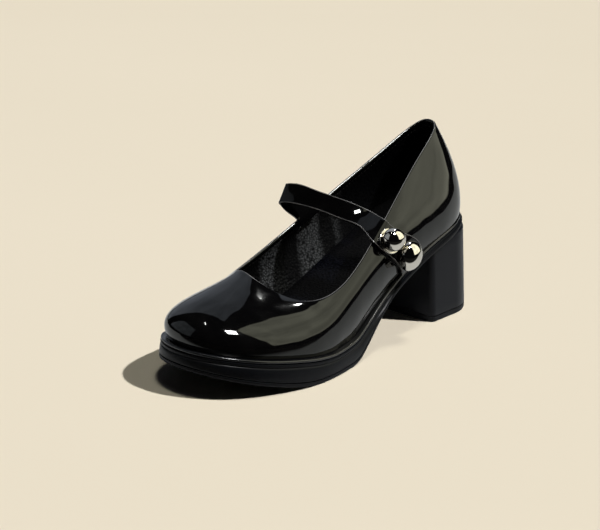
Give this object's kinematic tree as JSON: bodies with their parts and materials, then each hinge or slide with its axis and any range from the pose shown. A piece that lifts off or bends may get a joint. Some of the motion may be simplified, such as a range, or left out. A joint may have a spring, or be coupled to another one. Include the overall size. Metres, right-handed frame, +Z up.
{
  "type": "mary jane shoe",
  "caption": "Left patent mary jane with a rounded toe, low-cut throat, one instep strap with domed metal studs, a platform sole and a tall block heel.",
  "frame": {"origin": "centre of the heel's rest face, on the ground", "axes": "+X to the toe, +Y to the outer side of this left shoe, +Z up"},
  "size_m": [0.2386, 0.0926, 0.122],
  "materials": {
    "patent": "black patent, mirror gloss",
    "sock": "fine grained, satin",
    "welt": "semi-gloss",
    "sole": "satin moulded",
    "tread": "matte",
    "heel": "satin",
    "metal": "polished"
  },
  "bodies": {
    "root": {"upper": "patent", "insole": "sock", "welt": "welt", "platform": "sole", "outsole": "tread", "heel_block": "heel", "heel_lift": "tread", "strap": "patent", "stud_washer": "metal", "stud_round": "metal", "stud_egg": "metal"}
  },
  "joints": []
}
